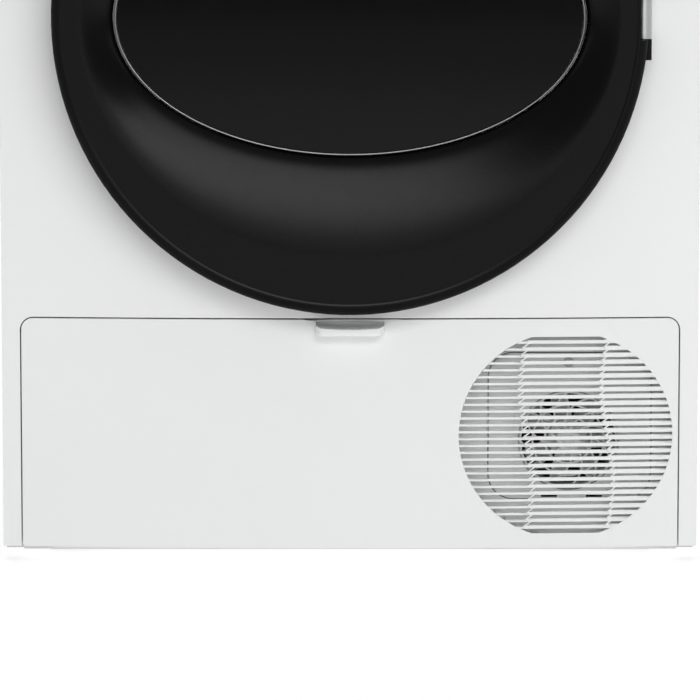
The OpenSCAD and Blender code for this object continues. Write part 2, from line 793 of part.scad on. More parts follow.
module fan_guard() {
  color(grey_c) sheet_y(-261.5, -258.5) translate([fan_x, fan_z]) {
    for (r = [42, 31.5, 21]) difference() {
      circle(r, $fn = 96);
      circle(r - 1.6, $fn = 96);
    }
    circle(10, $fn = 48);
    intersection() {
      circle(41, $fn = 96);
      union() for (a = [0:30:330]) rotate(a) difference() {
        translate([24, 0]) circle(24.6, $fn = 64);
        translate([24, 0]) circle(23.2, $fn = 64);
        translate([-60, -60]) square([120, 60]);
      }
    }
  }
  color(grey_c) for (a = [45:90:315]) translate([fan_x, 0, fan_z]) rotate([0, a, 0])
    slab(40.5, 42.4, -261.5, fan_y0, -3, 3);
}

module fan_frame() {
  half = 46;
  color(dark_c) difference() {
    union() {
      difference() {
        sheet_y(fan_y0, fan_y1) round_rect(fan_x - half, fan_x + half, fan_z - half, fan_z + half, 5);
        rod_y(fan_bore, fan_y0 - over, fan_y1 + over, fan_x, fan_z);
      }
      rod_y(18, fan_y1 - 4, fan_y1, fan_x, fan_z);
      for (a = [45:90:315]) translate([fan_x, 0, fan_z]) rotate([0, a, 0])
        slab(16, fan_bore + 1, fan_y1 - 3, fan_y1, -3, 3);
    }
    rod_y(3 + fit, fan_y1 - 5, fan_y1 + over, fan_x, fan_z);
    for (sx = [-1, 1], sz = [-1, 1])
      rod_y(2.2, fan_y0 - over, fan_y1 + over, fan_x + sx * 41, fan_z + sz * 41);
  }
}

module fan_rotor() {
  blades = 7;
  color(dark_c) {
    rod_y(17, fan_y0 + 2, fan_y1 - 5, fan_x, fan_z);
    rod_y(3, fan_y1 - 5.1, fan_y1 - 0.5, fan_x, fan_z);
    intersection() {
      union() for (k = [0:blades - 1]) translate([fan_x, -244.5, fan_z]) rotate([0, 360 * k / blades, 0])
        rotate([38, 0, 0]) translate([15, -13, -0.9]) cube([30, 26, 1.8]);
      rod_y(fan_bore - 1.5, fan_y0 + 3, fan_y1 - 6, fan_x, fan_z);
    }
  }
}

module power_inlet() {
  color(dark_c) difference() {
    union() {
      rod_y(11, rear_y0 - 6, rear_y1 + 0.1, 225, 75);
      turned_y(225, 75, 64) polygon([
        [0, rear_y1], [18, rear_y1], [18, rear_y1 + 2], [10, rear_y1 + 6], [8, rear_y1 + 20],
        [0, rear_y1 + 20]]);
    }
    rod_y(4.2, rear_y0 - 7, rear_y1 + 21, 225, 75);
  }
}

// ---------- door ----------

lip_r = door_r - 7.5;
lip_round = 1.2;

module door_ring() {
  color(black_c) difference() {
    union() {
      turned_y(0, door_z, 360) polygon(concat(
        [[236, -270], [door_r, -270], [door_r, -311]],
        [for (a = [15:15:75]) [lip_r + (door_r - lip_r) * cos(a), -311 + (door_front_y + 311) * sin(a)]],
        [for (a = [0:30:150]) [lip_r - lip_round * sin(a), door_front_y + lip_round * (1 - cos(a))]],
        [[241, door_front_y + 3], [241, door_front_y + 8], [236, door_front_y + 8]]));
      for (z0 = [door_z - 36, door_z + 18.6]) rod_z(7, z0, z0 + 17.4, hinge_x, hinge_y);
    }
    bow_block(-2, half_w + 10, 0, 180, 760);
    slab(hinge_x - 8.5, hinge_x + 20, -330, -260, door_z - 18.6, door_z + 18.6);
    rod_z(hinge_pin_r + fit, door_z - 34.5, door_z + 34.5, hinge_x, hinge_y);
  }
}

// Dark dish between the rim and the window
module door_dish() {
  color(black_c) difference() {
    turned_y(0, door_z, 360) polygon([
      [240.7, -321.3], [200, -319.5], [170, -314], [140, -306], [116, -303],
      [116, -300.5], [140, -303.5], [170, -311.5], [200, -317], [240.7, -318.8]]);
    sheet_y(-325, -295) oval(window_a + 0.3, window_b + 0.3);
  }
}
module door_trim() {
  color(steel_c) sheet_y(-306, -299) difference() {
    oval(window_a, window_b);
    oval(window_a - 2, window_b - 2);
  }
}
module door_window() {
  color(black_c) sheet_y(-304.5, -299) oval(window_a - 2.3, window_b - 2.3);
}

module door_inner() {
  color(white_c) difference() {
    turned_y(0, door_z, 180) polygon([
      [150, -262], [plug_r - 6, -262], [plug_r, -268], [plug_r, -291.5], [235.5, -291.5],
      [235.5, -294.5], [plug_r - 3, -294.5], [plug_r - 3, -269], [plug_r - 7, -265], [150, -265]]);
    slab(180, 260, -300, -285, door_z - 30, door_z + 30);
  }
}
module door_glass() {
  color(dark_c) turned_y(0, door_z, 180) polygon([
    [0, -259], [60, -259.5], [110, -261], [149.8, -263], [149.8, -267], [110, -265], [60, -263.5],
    [0, -263]]);
}
module door_latch() {
  color(white_c) difference() {
    union() {
      slab(latch_x - 12, latch_x + 12, -291.5, -290, door_z - 15, door_z + 15);
      slab(latch_x - 3.5, latch_x + 3.5, -290.1, -262, door_z - 7, door_z + 7);
    }
    slab(latch_x - 5, latch_x + 5, -272, -266, door_z - 3.5, door_z + 3.5);
    bow_block(-1.6, latch_x, 0, 0, 0.1);
  }
}

// ---------- flap ----------

slot_pitch = 5.91;
bar_h = slot_pitch - slot_h;
bar_depth = 3;
bar_inset = 0.2;
bar_step = 0.85;
ramp_w = 4.5;
ramp_left = 147;
ramp_right = 215.7;
ramp_wave = 5;
wave_row = 20;
web_w = 1.7;
web_run = 5.5;
grille_rim = 2;
flap_back_y = -268;
flap_skin = 2.5;
function row_z(k) = grille_z + (k - (slot_count - 1) / 2) * slot_pitch;
function wave(k) = -ramp_wave * cos((k - wave_row) * 360 / (slot_count - 1));

// One bar of the grille from the front: it steps up to the right at two ramps, which wander a little
// from row to row
module grille_bar(k) {
  z = row_z(k) + slot_h / 2;
  x0 = grille_x - grille_r - 2;
  x1 = grille_x + grille_r + 2;
  xl = ramp_left + wave(k);
  xr = ramp_right + wave(k);
  polygon([
    [x0, z], [x1, z], [x1, z + bar_h + 2 * bar_step], [xr + ramp_w, z + bar_h + 2 * bar_step],
    [xr, z + bar_h + bar_step], [xl + ramp_w, z + bar_h + bar_step], [xl, z + bar_h], [x0, z + bar_h]]);
}
// Outline of the grille, a little lower than it is wide
module grille_disc(extra) {
  translate([grille_x, grille_z])
    polygon([for (t = [0:3:357]) [(grille_r + extra) * cos(t), (grille_b + extra) * sin(t)]]);
}
// The two slanted webs that join a bar to the one above it
module grille_webs(k) {
  low = row_z(k) + slot_h / 2 + bar_h - 0.2;
  rise = slot_h + 0.4;
  for (x = [ramp_left, ramp_right]) translate([x + wave(k), low])
    polygon([[0, 0], [web_w, 0], [web_w + web_run, rise], [web_run, rise]]);
}
module flap_outline(inset, r) {
  x = flap_half - inset;
  low_r = 2.5;
  low_h = 30;
  round_rect(-x, x, flap_z0 + inset, flap_z1 - inset, r);
  round_rect(-x, x, flap_z0 + inset, flap_z0 + low_h, low_r);
}

module flap() {
  color(white_c) {
    difference() {
      slab(-groove_half - 2, groove_half + 2, panel_y + 1, panel_y + groove_depth + 2,
        groove_z0 - 2, groove_z1 + 1);
      slab(-groove_half, groove_half, panel_y, panel_y + groove_depth, groove_z0, groove_z1);
    }
    difference() {
      intersection() {
        bow_block(0, flap_half + over, flap_back_y, flap_z0 - over, flap_z1 + over);
        sheet_y(panel_y - 5, flap_back_y + 5) flap_outline(0, 10);
      }
      intersection() {
        bow_block(flap_skin, flap_half, flap_back_y + 5, flap_z0, flap_z1);
        sheet_y(panel_y - 5, flap_back_y + 5) flap_outline(flap_skin, 8);
      }
      intersection() {
        sheet_y(panel_y - 5, -260) grille_disc(0);
        slab(0, flap_half, panel_y, -262, row_z(0) - slot_h / 2, row_z(slot_count - 1) + slot_h / 2);
      }
      slab(-groove_half, groove_half, panel_y - over, panel_y + groove_depth, groove_z0, groove_z1);
      for (x = hinge_spots) slab(x - 4.2, x + 4.2, front_at(x) + flap_skin + 0.4, flap_back_y + 1,
        flap_z0 - over, flap_z0 + 6);
    }
    for (x = hinge_spots) difference() {
      union() for (side = [-1, 1]) {
        rod_x(5, x + side * 6.3 - 2.7, x + side * 6.3 + 2.7, flap_axis_y, flap_axis_z);
        slab(x + side * 6.3 - 2.7, x + side * 6.3 + 2.7, front_at(x) + 1, flap_axis_y,
          flap_axis_z - 5, flap_axis_z + 5);
      }
      rod_x(flap_pin_r + fit, x - 10, x + 10, flap_axis_y, flap_axis_z);
    }
    intersection() {
      sheet_y(panel_y - 1, -260) {
        for (k = [0:slot_count - 2]) grille_bar(k);
        for (k = [0:slot_count - 3]) grille_webs(k);
      }
      difference() {
        bow_block(bar_inset, flap_half, -262, flap_z0, flap_z1);
        bow_block(bar_inset + bar_depth, flap_half + over, -261, flap_z0 - over, flap_z1 + over);
      }
      sheet_y(panel_y - 5, -255) grille_disc(0.1);
    }
    difference() {
      sheet_y(-274, flap_back_y) grille_disc(grille_rim);
      sheet_y(-274 - over, flap_back_y + over) grille_disc(0);
    }
  }
}
flap_axis_y = -277;
flap_axis_z = 22;
hinge_spots = [-120, 120];
flap_pin_r = 2.5;

// Shallow groove in the flap above the handle
groove_half = 29;
groove_depth = 3.6;
groove_z0 = flap_z1 - 6;
groove_z1 = flap_z1 - 1.7;

module flap_handle() {
  z0 = flap_z1 - 14.9;
  z1 = flap_z1 - 4.1;
  half = handle_w / 2;
  reach = 14;
  dip = 1.6;
  dip_r = half * half / (2 * dip) + dip / 2;
  color(white_c) difference() {
    translate([-half, 0, 0]) rotate([90, 0, 90]) linear_extrude(handle_w) polygon([
      [panel_y + 0.3, z0], [panel_y + 0.3, z1], [panel_y - reach + 2, z1 - 1.6],
      [panel_y - reach, z1 - 3.4], [panel_y - reach, z0 + 2.6], [panel_y - reach + 2.4, z0]]);
    bow_block(0, half + over, panel_y + 20, z0 - over, z1 + over);
    slab(-half + 3, half - 3, panel_y - reach + 3.5, panel_y - 3, z0 - over, z0 + 5);
    translate([0, panel_y - reach - over, z1 - dip + dip_r]) rotate([-90, 0, 0])
      cylinder(r = dip_r, h = reach + 2 * over, $fn = 240);
  }
}

// ---------- water tank ----------

tank_y0 = -267;
module tank_section(inset) {
  difference() {
    translate([-288 + inset, 745 + inset]) square([166 - 2 * inset, 77 - 2 * inset]);
    translate([0, drum_z]) circle(289 + inset, $fn = 360);
  }
}
module water_tank() {
  t = 2.5;
  color([0.80, 0.84, 0.88]) difference() {
    sheet_y(tank_y0, 140) tank_section(0);
    sheet_y(tank_y0 + t, 140 - t) tank_section(t);
    slab(-270, -140, -225, 100, 815, 830);
  }
}
module tank_front() {
  color(white_c) difference() {
    intersection() {
      bow_block(0, half_w, tank_y0, tank_z0, tank_z1);
      sheet_y(panel_y - 5, tank_y0 + 5) round_rect(tank_x0, tank_x1, tank_z0, tank_z1, 4);
    }
    slab(-250, -160, panel_y - 5, tank_y0 - 4, tank_z0 - over, tank_z0 + 22);
  }
}

// ---------- lint filter ----------

module lint_filter() {
  x = slot_x - 1.5;
  y0 = -254;
  y1 = -235;
  z0 = filter_z0 + 2;
  z1 = 279;
  color(grey_c) difference() {
    union() {
      slab(-x, x, y0, y1, z0, z1);
      slab(-60, 60, y0 + 4, y1 - 4, z1 - 0.1, z1 + 8);
    }
    slab(-x + 4, x - 4, y0 + 2, y1 - 2, z0 + 4, z1 - 4);
    for (side = [-1, 1], k = [0:4]) slab(
      -x + 8 + k * 42.5, -x + 8 + k * 42.5 + 36, side < 0 ? y0 - over : y1 - 3,
      side < 0 ? y0 + 3 : y1 + over, z0 + 10, z1 - 12);
    slab(-50, 50, y0 + 8, y1 - 8, z1 - 5, z1 + 9);
  }
}

// ---------- controls and feet ----------

module programme_knob() {
  color(steel_c) {
    turned_y(0, knob_z, 96) polygon([
      [0, -308], [20, -308], [22, -307], [23, -305], [25, -290.2], [25, -289.3], [0, -289.3]]);
    rod_y(5, -289.4, -267.5, 0, knob_z);
    slab(-1, 1, -308.6, -307.9, knob_z + 8, knob_z + 18);
  }
}
module power_button() {
  color(steel_c) {
    rod_y(9, -290.5, -283, power_x, knob_z);
    rod_y(11.5, -284, -281.5, power_x, knob_z);
  }
}
module start_button() {
  color(steel_c) {
    rod_y(13, -281.8, -272.5, start_x, knob_z);
    rod_y(15.5, -273.6, -272, start_x, knob_z);
  }
}

module foot(x, y) {
  color(rubber_c) translate([x, y, 0]) {
    rotate_extrude($fn = 64) polygon([[0, 0], [19, 0], [20, 1], [20, 4], [16, 6], [0, 6]]);
    rod_z(foot_stem_r, 5.9, 25, 0, 0);
  }
}
module foot_front_left() { foot(-foot_x, foot_y_front); }
module foot_front_right() { foot(foot_x, foot_y_front); }
module rear_feet() {
  for (x = [-foot_x, foot_x]) foot(x, foot_y_rear);
}

base_tray();
side_panel_left();
side_panel_right();
rear_panel();
rear_cover();
front_panel();
front_bulkhead();
worktop();
control_panel();
display_window();
control_board();
door_catch();
door_hinge();
door_gasket();
drum_felts();
rear_bearing();
drum_belt();
motor_stator();
blower_housing();
compressor();
compressor_mounts();
evaporator();
condenser();
refrigerant_pipes();
heat_pump_cover();
condensate_pump();
condensate_hose();
fan_frame();
fan_guard();
service_cover();
power_inlet();
rear_screws();
door_ring();
door_dish();
door_trim();
door_window();
door_inner();
door_glass();
door_latch();
flap();
flap_handle();
water_tank();
tank_front();
lint_filter();
drum();
drum_shaft();
drum_baffles();
roller_left();
roller_right();
motor_rotor();
blower_impeller();
idler_arm();
idler_pulley();
fan_rotor();
programme_knob();
power_button();
start_button();
foot_front_left();
foot_front_right();
rear_feet();
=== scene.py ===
"""Looks of the tumble dryer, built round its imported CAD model. Metres, +Z up, the front faces -Y."""
import json
import math

import bmesh
import bpy
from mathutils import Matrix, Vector


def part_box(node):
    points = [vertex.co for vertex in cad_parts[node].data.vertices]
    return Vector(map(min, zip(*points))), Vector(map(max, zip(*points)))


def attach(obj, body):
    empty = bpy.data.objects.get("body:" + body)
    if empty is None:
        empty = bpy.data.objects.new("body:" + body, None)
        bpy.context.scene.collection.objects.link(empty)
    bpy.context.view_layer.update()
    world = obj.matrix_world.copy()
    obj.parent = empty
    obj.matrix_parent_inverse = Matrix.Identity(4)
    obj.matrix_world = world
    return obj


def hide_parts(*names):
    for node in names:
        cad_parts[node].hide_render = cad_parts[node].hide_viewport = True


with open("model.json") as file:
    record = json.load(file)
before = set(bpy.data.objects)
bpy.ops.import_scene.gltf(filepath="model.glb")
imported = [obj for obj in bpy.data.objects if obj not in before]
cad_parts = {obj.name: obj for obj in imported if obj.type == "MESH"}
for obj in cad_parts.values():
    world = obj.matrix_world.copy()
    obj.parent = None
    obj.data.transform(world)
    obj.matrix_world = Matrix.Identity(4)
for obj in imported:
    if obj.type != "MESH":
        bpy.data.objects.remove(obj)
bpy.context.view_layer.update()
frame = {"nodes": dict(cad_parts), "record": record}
nodes = frame["nodes"]
bodies = frame["record"]["behaviour"]["bodies"]
body_of = {node: body for body, members in bodies.items() for node in members}
scene = bpy.context.scene
scene.view_settings.view_transform = "Standard"

# ---------- camera and lights ----------
cam_data = bpy.data.cameras.new("camera")
SENSOR = 36
PICTURE = 700
FOCAL_IN_PICTURE = 4733
DOWN_TILT = 7.056
cam_data.sensor_width = SENSOR
cam_data.lens = FOCAL_IN_PICTURE / PICTURE * SENSOR
cam_data.clip_end = 50
cam = bpy.data.objects.new("camera", cam_data)
scene.collection.objects.link(cam)
cam.location = (0, -4.2885, 0.6783)
cam.rotation_euler = (math.radians(90 - DOWN_TILT), 0, 0)
scene.camera = cam


def area(name, location, target, size, radiance):
    data = bpy.data.lights.new(name, "AREA")
    data.shape = "RECTANGLE"
    data.size, data.size_y = size
    data.energy = radiance * math.pi * size[0] * size[1]
    light = bpy.data.objects.new(name, data)
    scene.collection.objects.link(light)
    light.location = location
    light.rotation_euler = (Vector(target) - light.location).to_track_quat("-Z", "Y").to_euler()


area("key_light", (0.8, -3.6, 2.1), (0, -0.3, 0.35), (3.2, 1.1), 5.5)
area("front_light", (0.4, -4.9, 1.1), (0, -0.3, 0.4), (3.6, 1.3), 0.95)
area("top_light", (0, -0.4, 4.2), (0, -0.3, 0), (4.0, 3.4), 0.8)
area("back_light", (0, 3.8, 2.4), (0, 0.3, 0.4), (3.6, 2.4), 2.2)
area("left_light", (-3.8, 0.4, 1.9), (-0.3, 0, 0.4), (2.4, 2.0), 1.6)
area("right_light", (3.8, 0.4, 1.9), (0.3, 0, 0.4), (2.4, 2.0), 1.8)

world = bpy.data.worlds.new("studio")
scene.world = world
world.use_nodes = True
world.node_tree.nodes["Background"].inputs["Color"].default_value = (1, 1, 1, 1)
world.node_tree.nodes["Background"].inputs["Strength"].default_value = 0.19

# ---------- materials ----------


def material(name, base, rough, metal=0.0, spec=0.5, tint=0.02, patch=5.0, rough_var=0.05,
             grain=900.0, bump=0.05, depth=0.00005, stretch=(1, 1, 1), coat=0.0, coat_rough=0.1,
             sheen=0.0, ior=1.5, transmission=0.0, pattern="noise"):
    """A node material: slow colour drift, uneven gloss and a fine surface relief."""
    mat = bpy.data.materials.new(name)
    mat.use_nodes = True
    tree = mat.node_tree
    new, link = tree.nodes.new, tree.links.new
    shader = tree.nodes["Principled BSDF"]
    place = new("ShaderNodeTexCoord")
    scaled = new("ShaderNodeMapping")
    scaled.inputs["Scale"].default_value = stretch
    link(place.outputs["Object"], scaled.inputs["Vector"])

    drift = new("ShaderNodeTexNoise")
    drift.inputs["Scale"].default_value = patch
    drift.inputs["Detail"].default_value = 3
    link(place.outputs["Object"], drift.inputs["Vector"])
    ramp = new("ShaderNodeValToRGB")
    stops = ramp.color_ramp.elements
    for stop, factor in ((stops[0], 1 - tint), (stops[1], 1 + tint)):
        stop.color = [min(1.0, c * factor) for c in base] + [1]
    stops[0].position = 0.3
    stops[1].position = 0.7
    link(drift.outputs["Fac"], ramp.inputs["Fac"])
    link(ramp.outputs["Color"], shader.inputs["Base Color"])

    gloss = new("ShaderNodeTexNoise")
    gloss.inputs["Scale"].default_value = patch * 9
    gloss.inputs["Detail"].default_value = 4
    link(scaled.outputs["Vector"], gloss.inputs["Vector"])
    level = new("ShaderNodeMapRange")
    level.inputs["From Min"].default_value = 0.25
    level.inputs["From Max"].default_value = 0.75
    level.inputs["To Min"].default_value = max(0.02, rough - rough_var)
    level.inputs["To Max"].default_value = min(1.0, rough + rough_var)
    link(gloss.outputs["Fac"], level.inputs["Value"])
    link(level.outputs["Result"], shader.inputs["Roughness"])

    if pattern == "cells":
        relief = new("ShaderNodeTexVoronoi")
        relief.inputs["Scale"].default_value = grain
        relief_out = relief.outputs["Distance"]
    elif pattern == "waves":
        relief = new("ShaderNodeTexWave")
        relief.inputs["Scale"].default_value = grain
        relief.inputs["Distortion"].default_value = 1.5
        relief.inputs["Detail"].default_value = 2
        relief_out = relief.outputs["Fac"]
    else:
        relief = new("ShaderNodeTexNoise")
        relief.inputs["Scale"].default_value = grain
        relief.inputs["Detail"].default_value = 4
        relief_out = relief.outputs["Fac"]
    link(scaled.outputs["Vector"], relief.inputs["Vector"])
    lift = new("ShaderNodeBump")
    lift.inputs["Strength"].default_value = bump
    lift.inputs["Distance"].default_value = depth
    link(relief_out, lift.inputs["Height"])
    link(lift.outputs["Normal"], shader.inputs["Normal"])

    for socket, value in (("Metallic", metal), ("Specular IOR Level", spec), ("Coat Weight", coat),
                          ("Coat Roughness", coat_rough), ("Sheen Weight", sheen), ("IOR", ior),
                          ("Transmission Weight", transmission)):
        shader.inputs[socket].default_value = value
    return mat


def glow(mat, strength):
    shader = mat.node_tree.nodes["Principled BSDF"]
    shader.inputs["Emission Color"].default_value = (1, 1, 1, 1)
    shader.inputs["Emission Strength"].default_value = strength


slot_of = {node: obj.material_slots[0].material.name.split(".")[0] for node, obj in nodes.items()}
for old in list(bpy.data.materials):
    old.name = "plain_" + old.name

MATS = {
    "white_enamel": material("white_enamel", (0.83, 0.835, 0.835), 0.38, spec=0.4, tint=0.006, patch=3,
                             grain=420, bump=0.12, depth=0.00004, coat=0.15, coat_rough=0.25),
    "white_plastic": material("white_plastic", (0.82, 0.825, 0.825), 0.42, spec=0.4, tint=0.008, patch=5,
                              grain=1600, bump=0.18, depth=0.00003),
    "worktop_white": material("worktop_white", (0.80, 0.805, 0.80), 0.45, spec=0.4, tint=0.012, patch=7,
                              grain=700, bump=0.25, depth=0.00006, pattern="cells"),
    "grey_plastic": material("grey_plastic", (0.50, 0.51, 0.52), 0.55, spec=0.35, tint=0.03, patch=9,
                             grain=1300, bump=0.25, depth=0.00005),
    "dark_plastic": material("dark_plastic", (0.022, 0.022, 0.024), 0.55, spec=0.35, tint=0.12, patch=12,
                             grain=1500, bump=0.3, depth=0.00005),
    "black_gloss": material("black_gloss", (0.0022, 0.0022, 0.0024), 0.27, spec=0.14, tint=0.10, patch=6,
                            rough_var=0.012, grain=600, bump=0.03, depth=0.00003),
    "rim_black": material("rim_black", (0.0080, 0.0080, 0.0084), 0.55, spec=0.02, tint=0.15, patch=9,
                          grain=1200, bump=0.1, depth=0.00003),
    "black_glass": material("black_glass", (0.0025, 0.0025, 0.003), 0.09, spec=0.13, tint=0.1, patch=4,
                            rough_var=0.02, grain=250, bump=0.03, depth=0.00003),
    "inner_glass": material("inner_glass", (0.35, 0.37, 0.38), 0.05, tint=0.03, patch=6, rough_var=0.02,
                            grain=200, bump=0.03, depth=0.00003, ior=1.47, transmission=0.9),
    "silver_trim": material("silver_trim", (0.30, 0.305, 0.31), 0.34, metal=1.0, tint=0.03, patch=20,
                            grain=300, bump=0.08, depth=0.00003, stretch=(1, 1, 14)),
    "steel": material("steel", (0.60, 0.61, 0.61), 0.32, metal=1.0, tint=0.02, patch=8, rough_var=0.03,
                      grain=520, bump=0.06, depth=0.00003, stretch=(1, 0.08, 1)),
    "galvanised": material("galvanised", (0.52, 0.54, 0.55), 0.42, metal=1.0, tint=0.10, patch=40,
                           rough_var=0.12, grain=90, bump=0.15, depth=0.00005, pattern="cells"),
    "black_metal": material("black_metal", (0.018, 0.018, 0.019), 0.40, spec=0.5, tint=0.15, patch=15,
                            grain=350, bump=0.3, depth=0.0001),
    "aluminium_fins": material("aluminium_fins", (0.66, 0.67, 0.68), 0.35, metal=1.0, tint=0.05, patch=25,
                               grain=500, bump=0.2, depth=0.00005),
    "copper": material("copper", (0.68, 0.33, 0.18), 0.30, metal=1.0, tint=0.12, patch=30, rough_var=0.1,
                       grain=300, bump=0.1, depth=0.00004),
    "rubber": material("rubber", (0.016, 0.016, 0.017), 0.75, spec=0.3, tint=0.12, patch=20,
                       grain=900, bump=0.4, depth=0.0001),
    "felt": material("felt", (0.30, 0.27, 0.22), 0.95, spec=0.1, tint=0.18, patch=60, grain=1800,
                     bump=0.9, depth=0.0004, sheen=0.5),
    "tank_plastic": material("tank_plastic", (0.70, 0.75, 0.79), 0.35, tint=0.02, patch=6,
                             grain=700, bump=0.12, depth=0.00005, transmission=0.35),
}
finish = {"door_ring": "rim_black", "base_tray": "white_plastic", "fan_guard": "white_plastic",
          "fan_rotor": "white_plastic", "fan_frame": "white_plastic"}
FLOOR = material("floor", (0.62, 0.62, 0.617), 0.6, spec=0.2, tint=0.01, patch=1.5, grain=120,
                 bump=0.1, depth=0.0002)
glow(FLOOR, 0.56)

for node, obj in nodes.items():
    for slot in obj.material_slots:
        slot.material = MATS[finish.get(node, slot_of[node])]

# ---------- mesh helpers ----------


def add(name, bm, mat, body, *replaced, smooth):
    """Makes a finished piece that rides on a body. Edges over smooth degrees stay sharp."""
    bmesh.ops.recalc_face_normals(bm, faces=bm.faces)
    mesh = bpy.data.meshes.new(name)
    bm.to_mesh(mesh)
    bm.free()
    mesh.shade_smooth()
    mesh.set_sharp_from_angle(angle=math.radians(smooth))
    mesh.materials.append(MATS[mat])
    obj = bpy.data.objects.new(name, mesh)
    scene.collection.objects.link(obj)
    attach(obj, body)
    if replaced:
        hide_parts(*replaced)
    return obj


def bridge(bm, rings, close=False):
    """Quads between rings of equal length."""
    for a, b in zip(rings, rings[1:] + (rings[:1] if close else [])):
        n = len(a)
        for k in range(n):
            bm.faces.new((a[k], a[(k + 1) % n], b[(k + 1) % n], b[k]))


SAME_PLACE = 2e-6
FLAT_ANGLE = math.radians(0.05)
HARD_ANGLE = math.radians(32)


def soften(node, width, keep=None):
    """The CAD node's own shape with its hard edges rounded off, except where keep says to leave it."""
    bm = bmesh.new()
    bm.from_mesh(nodes[node].data)
    bmesh.ops.remove_doubles(bm, verts=bm.verts, dist=SAME_PLACE)
    free = [v for v in bm.verts if not (keep and keep(v.co))]
    inside = set(free)
    edges = [e for e in bm.edges if e.verts[0] in inside and e.verts[1] in inside]
    bmesh.ops.dissolve_limit(bm, angle_limit=FLAT_ANGLE, verts=free, edges=edges)
    hard = [e for e in bm.edges if len(e.link_faces) == 2 and e.calc_face_angle(0) > HARD_ANGLE
            and not (keep and any(keep(v.co) for v in e.verts))]
    bmesh.ops.bevel(bm, geom=hard, offset=width, offset_type="OFFSET", segments=2,
                    profile=0.5, affect="EDGES", clamp_overlap=False)
    obj = add(node + "_soft", bm, slot_of[node], body_of[node], node, smooth=50)
    obj.modifiers.new("normals", "WEIGHTED_NORMAL").keep_sharp = True


# ---------- door ----------
trim_lo, trim_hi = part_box("door_trim")
ring_lo, ring_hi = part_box("door_ring")
door_z = (trim_lo.z + trim_hi.z) / 2
win_a = (trim_hi.x - trim_lo.x) / 2
win_b = (trim_hi.z - trim_lo.z) / 2
front_y = ring_lo.y
ARC = 224
DISH_R = 0.2412
LIP = 0.0013


def ellipse(bm, rx, rz, y):
    """A closed ring of vertices about the door's axis."""
    angles = [2 * math.pi * k / ARC for k in range(ARC)]
    return [bm.verts.new((rx * math.cos(a), y, door_z + rz * math.sin(a))) for a in angles]


def oval_ring(bm, t, y, extra=LIP):
    """A ring between the round rim (t = 0) and the oval window (t = 1), which it overlaps by extra."""
    return ellipse(bm, DISH_R + (win_a + extra - DISH_R) * t, DISH_R + (win_b + extra - DISH_R) * t, y)


DISH_SLOPE = [(0, 0), (0.31, 0), (0.37, 0.3), (0.41, 0.45), (0.5, 0.72), (0.58, 0.86), (0.66, 0.97),
              (0.74, 1.08), (0.80, 1.12), (0.86, 1.2), (0.90, 1.3), (0.94, 1.6), (0.97, 2.1), (1, 2.2)]


def slope_at(t):
    """Relative slope of the dish, from the rim at t = 0 to the window at t = 1."""
    for (t0, s0), (t1, s1) in zip(DISH_SLOPE, DISH_SLOPE[1:]):
        if t <= t1:
            return s0 + (s1 - s0) * (t - t0) / (t1 - t0)
    return DISH_SLOPE[-1][1]


# Radius and depth behind the door's front of the bevel between the ring's crest and the dish
BEVEL = [(0.24360, 0.0020), (0.24360, 0.00002), (0.24310, 0.00004), (0.24250, 0.00009),
         (0.24220, 0.00016), (0.24160, 0.00034), (0.24110, 0.00050), (0.24080, 0.00056), (0.24040, 0.00058)]


def dish():
    """The dish and its back, from the bevel at the ring to the lip round the window."""
    bm = bmesh.new()
    flat_y = front_y + BEVEL[-1][1]
    deep_y = trim_lo.y + 0.0034
    start, steps = 0.03, 56
    rings = [ellipse(bm, radius, radius, front_y + dy) for radius, dy in BEVEL]
    depth = [0.0]
    for k in range(1, steps + 1):
        depth.append(depth[-1] + slope_at(start + (1 - start) * (k - 0.5) / steps))
    for k in range(steps + 1):
        t = start + (1 - start) * k / steps
        rings.append(oval_ring(bm, t, flat_y + (deep_y - flat_y) * depth[k] / depth[-1]))
    rings.append(oval_ring(bm, 1.0, deep_y + 0.0025, LIP - 0.0001))
    rings.append(oval_ring(bm, 0.97, deep_y + 0.0030))
    rings.append(oval_ring(bm, 0.6, flat_y + 0.0075))
    rings.append(oval_ring(bm, 0.02, flat_y + 0.0050))
    bridge(bm, rings, close=True)
    add("door_dish_skin", bm, "black_gloss", "door", "door_dish", smooth=60)


def trim():
    """The thin metal ring with a round front edge between the dish and the window."""
    bm = bmesh.new()
    half, depth, inset = 0.0007, 0.006, 0.001
    section = [(-half, depth)]
    for k in range(10):
        a = math.pi * k / 9
        section.append((-half * math.cos(a), half - inset - half * math.sin(a)))
    section.append((half, depth))
    loops = [ellipse(bm, win_a - inset - dx, win_b - inset - dx, trim_lo.y + inset + dy)
             for dx, dy in section]
    bridge(bm, loops, close=True)
    add("door_trim_ring", bm, "silver_trim", "door", "door_trim", smooth=60)


def window():
    """The oval window, slightly crowned towards the front."""
    bm = bmesh.new()
    lo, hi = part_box("door_window")
    a0, b0 = (hi.x - lo.x) / 2, (hi.z - lo.z) / 2
    edge_y, crown, steps = lo.y + 0.0004, 0.0016, 24
    rings = []
    for k in range(steps):
        s = 1 - k / steps
        rings.append(ellipse(bm, a0 * s, b0 * s, edge_y - crown * (1 - s * s)))
    back = ellipse(bm, a0, b0, hi.y)
    bridge(bm, [back] + rings)
    mid = bm.verts.new((0, edge_y - crown, door_z))
    for k in range(ARC):
        bm.faces.new((rings[-1][k], rings[-1][(k + 1) % ARC], mid))
    bm.faces.new(back)
    add("door_window_glass", bm, "black_glass", "door", "door_window", smooth=60)


dish()
trim()
window()

# ---------- cabinet ----------
for node, width in (("front_panel", 0.0007), ("worktop", 0.0022), ("control_panel", 0.0010),
                    ("tank_front", 0.0012), ("side_panel_left", 0.0003), ("side_panel_right", 0.0003)):
    soften(node, width)

